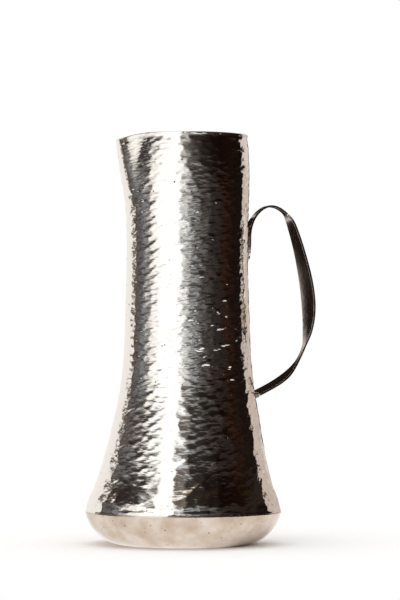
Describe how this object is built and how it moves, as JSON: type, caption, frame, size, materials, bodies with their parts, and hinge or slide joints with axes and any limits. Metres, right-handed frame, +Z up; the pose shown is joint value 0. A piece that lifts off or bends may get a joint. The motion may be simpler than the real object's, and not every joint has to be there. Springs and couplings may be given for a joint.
{
  "type": "ewer",
  "caption": "Tall hammered silver ewer with a flared skirt over a round bottom pan, a pulled pouring lip and a forged strap handle.",
  "frame": {"origin": "centre of the flat foot, on the surface that the ewer stands on", "axes": "+Z up, +X towards the handle, -X towards the pouring lip"},
  "size_m": [0.1699, 0.1438, 0.3],
  "materials": {
    "hammered_silver": "polished, hammer-marked",
    "planished_silver": "polished, lightly planished",
    "forged_silver": "polished, smooth",
    "silver_solder": "satin"
  },
  "bodies": {
    "root": {"body_wall": "hammered_silver", "bottom_pan": "planished_silver", "strap_handle": "forged_silver", "upper_solder": "silver_solder", "lower_solder": "silver_solder", "seam_solder": "silver_solder"}
  },
  "joints": []
}
